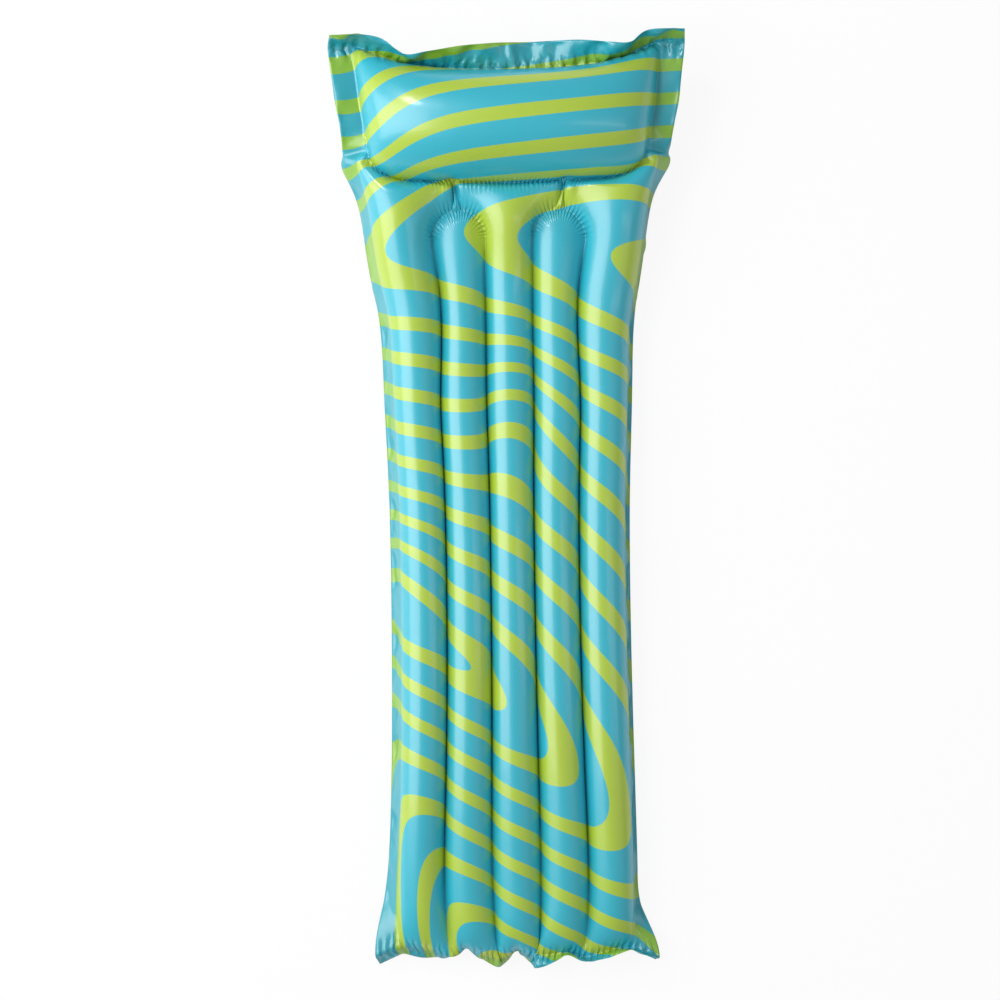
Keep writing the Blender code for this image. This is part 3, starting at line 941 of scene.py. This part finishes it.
def flange_shade_part(shader, flat):
    """1 in the flanges, where the two sheets are welded flat to each other; there the colour is darkened as
    painted shade.
    """
    across, along = shader.split(flat)
    beyond = shader.math("SUBTRACT", shader.math("ABSOLUTE", across), CHAMBER_HALF)
    above = shader.math("SUBTRACT", along, HEAD_WELD)
    below = shader.math("SUBTRACT", FOOT_FLANGE, along)
    outside = shader.math("MAXIMUM", beyond, shader.math("MAXIMUM", above, below))
    return shader.math("MULTIPLY", outside, FLANGE_EDGE, clamp=True)


def printed_vinyl():
    shader = Shader("printed_vinyl")
    place = shader.add("ShaderNodeUVMap", uv_map="flat").outputs[0]
    printed = shader.mix(stripe_part(shader, place), AQUA, LIME)
    # Painted shade: the flanges are darkened by a multiply over the print
    shaded_flange = flange_shade_part(shader, place)
    color = shader.mix(shaded_flange, printed, FLANGE_PAINTED_SHADE, blend_type="MULTIPLY")
    scale, detail, strength, distance = VINYL_GRAIN
    fine = shader.noise(place, scale, detail)
    folds = shader.bump(fold_height(shader, place), 1.0, 1.0)
    normal = shader.bump(fine, strength, distance, folds)
    wear = shader.noise(place, VINYL_WEAR_SCALE)
    worn = shader.math("MULTIPLY_ADD", wear, VINYL_WEAR, VINYL_ROUGHNESS)
    shader.set(Base_Color=color, Roughness=worn, Normal=normal, Specular_IOR_Level=VINYL_SPECULAR)
    return shader.set(Coat_Weight=COAT_WEIGHT, Coat_Roughness=COAT_ROUGHNESS, Coat_Normal=normal)


def clear_vinyl():
    shader = Shader("clear_vinyl")
    place = shader.add("ShaderNodeTexCoord").outputs["Object"]
    scale, detail, strength, distance = CLEAR_GRAIN
    normal = shader.bump(shader.noise(place, scale, detail), strength, distance)
    shader.set(Base_Color=(*CLEAR, 1), Roughness=CLEAR_ROUGHNESS, Normal=normal)
    return shader.set(Transmission_Weight=CLEAR_TRANSMISSION)


def floor_material():
    """Pale, with a soft shadow, and white to the camera."""
    shader = Shader("floor")
    shader.set(Base_Color=(*FLOOR, 1), Roughness=FLOOR_ROUGHNESS)
    path = shader.add("ShaderNodeLightPath")
    white = shader.add("ShaderNodeEmission")
    blend = shader.add("ShaderNodeMixShader")
    shader.put(blend.inputs[0], shader.math("MULTIPLY", path.outputs["Is Camera Ray"], FLOOR_WHITE))
    shader.put(blend.inputs[1], shader.surface.outputs[0])
    shader.put(blend.inputs[2], white.outputs[0])
    output = shader.tree.nodes["Material Output"]
    shader.put(output.inputs["Surface"], blend.outputs[0])
    return shader.material


def joint_of(name):
    joints = frame["record"]["behaviour"]["joints"]
    return next(joint for joint in joints if joint["name"] == name)


def valve_frame(prefix):
    """Middle of the valve's disc, and the direction out of the mattress."""
    low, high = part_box(f"{prefix}_flange")
    inward = Vector(joint_of(f"{prefix}_push")["axis"])
    return (low + high) / 2, -inward


def seat_valve(sheet, prefix):
    """Lays the sheet flat round the valve, and opens a round window over its throat."""
    centre, out = (np.array(part) for part in valve_frame(prefix))
    mesh = sheet.data
    places = points_of(mesh)
    off = places - centre
    height = off @ out
    radial = off - np.outer(height, out)
    radius = np.sqrt((radial ** 2).sum(1))
    near = (1 - smooth(radius, LAND_RADIUS, LAND_FADE)) * (np.abs(height) < LAND_DEEPEST)
    set_points(mesh, places + np.outer(near * (LAND_OFFSET - height), out))
    inside = (near > 0.5) & (radius < WINDOW_RADIUS)
    bm = bmesh.new()
    bm.from_mesh(mesh)
    cut = [face for face in bm.faces if all(inside[vertex.index] for vertex in face.verts)]
    bmesh.ops.delete(bm, geom=cut, context="FACES")
    for vertex in bm.verts:
        away = Vector(vertex.co) - Vector(centre)
        away -= away.dot(Vector(out)) * Vector(out)
        if vertex.is_boundary and away.length < WINDOW_RADIUS * WINDOW_SLACK:
            vertex.co += away * (WINDOW_RADIUS / away.length - 1)
    bm.to_mesh(mesh)
    bm.free()


def add_skirt(prefix, material):
    """The thin ring from the valve's disc to its stem, rising as it narrows."""
    centre, out = valve_frame(prefix)
    sideways = Vector((1, 0, 0))
    upward = out.cross(sideways).normalized()
    bm = bmesh.new()
    grid = []
    for face in (0, 1):
        for ring in range(SKIRT_RINGS + 1):
            part = ring / SKIRT_RINGS
            radius = SKIRT_OUTER + (SKIRT_INNER - SKIRT_OUTER) * part
            height = SKIRT_RISE * part ** SKIRT_CURVE + face * SKIRT_THICKNESS
            row = []
            for step in range(SKIRT_STEPS):
                angle = 2 * math.pi * step / SKIRT_STEPS
                spoke = math.cos(angle) * sideways + math.sin(angle) * upward
                row.append(bm.verts.new(centre + radius * spoke + height * out))
            grid.append(row)
    order = list(range(SKIRT_RINGS + 1)) + list(range(2 * SKIRT_RINGS + 1, SKIRT_RINGS, -1))
    for here, there in zip(order, order[1:] + order[:1]):
        for step in range(SKIRT_STEPS):
            after = (step + 1) % SKIRT_STEPS
            bm.faces.new((grid[here][step], grid[here][after], grid[there][after], grid[there][step]))
    bmesh.ops.recalc_face_normals(bm, faces=bm.faces[:])
    mesh = bpy.data.meshes.new(f"{prefix}_soft_skirt")
    bm.to_mesh(mesh)
    bm.free()
    mesh.shade_smooth()
    mesh.materials.append(material)
    obj = linked_object(mesh.name, mesh)
    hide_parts(f"{prefix}_skirt")
    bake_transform(obj)


def add_stage():
    floor = bpy.data.meshes.new("floor")
    corners = [(x * FLOOR_HALF, y * FLOOR_HALF, 0) for x, y in ((-1, -1), (1, -1), (1, 1), (-1, 1))]
    floor.from_pydata(corners, [], [(0, 1, 2, 3)])
    obj = linked_object("floor", floor)
    floor.materials.append(floor_material())


def add_lamp(name, place, aim, size, power):
    light = bpy.data.lights.new(name, "AREA")
    light.shape = "RECTANGLE"
    light.size, light.size_y = size
    light.energy = power
    obj = linked_object(name, light)
    obj.location = place
    obj.rotation_euler = (Vector(aim) - Vector(place)).to_track_quat("-Z", "Y").to_euler()


def add_sky():
    """A white sky all round, dimmer in reflections."""
    world = bpy.data.worlds.new("studio")
    bpy.context.scene.world = world
    world.use_nodes = True
    tree = world.node_tree
    sky = tree.nodes["Background"]
    sky.inputs["Color"].default_value = (1, 1, 1, 1)
    path = tree.nodes.new("ShaderNodeLightPath")
    dimmed = tree.nodes.new("ShaderNodeMath")
    dimmed.operation = "MULTIPLY_ADD"
    tree.links.new(path.outputs["Is Glossy Ray"], dimmed.inputs[0])
    dimmed.inputs[1].default_value = SKY_IN_GLOSS - SKY
    dimmed.inputs[2].default_value = SKY
    tree.links.new(dimmed.outputs[0], sky.inputs["Strength"])


def add_camera():
    camera = bpy.data.cameras.new("camera")
    camera.lens = CAMERA_LENS
    camera.sensor_width = CAMERA_SENSOR
    obj = linked_object("camera", camera)
    target = Vector(CAMERA_TARGET)
    place = target + Vector((-CAMERA_LEFT, 0, CAMERA_HEIGHT))
    back = (place - target).normalized()
    right = Vector((0, 1, 0)).cross(back).normalized()
    up = back.cross(right)
    turn = Matrix((right, up, back)).transposed()
    obj.matrix_world = Matrix.Translation(place) @ turn.to_4x4() @ Matrix.Rotation(CAMERA_ROLL, 4, "Z")
    bpy.context.scene.camera = obj


def main():
    bag = inflated_bag()
    vinyl = printed_vinyl()
    top = sheet_object("printed_top", bag, 0, vinyl)
    bottom = sheet_object("printed_bottom", bag, 1, vinyl)
    part_sheets(top, bottom)
    for prefix in VALVES:
        seat_valve(bottom, prefix)
    for obj, node, slot in ((top, "top_sheet", "printed_vinyl"), (bottom, "bottom_sheet", "back_vinyl")):
        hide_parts(node)
        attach(obj, "mattress")
    clear = clear_vinyl()
    for name, obj in frame["nodes"].items():
        if "valve" in name:
            obj.data.materials.clear()
            obj.data.materials.append(clear)
    for prefix in VALVES:
        add_skirt(prefix, clear)
    add_stage()
    for lamp in LAMPS:
        add_lamp(*lamp)
    add_sky()
    add_camera()
    bpy.context.scene.view_settings.view_transform = "Standard"


main()
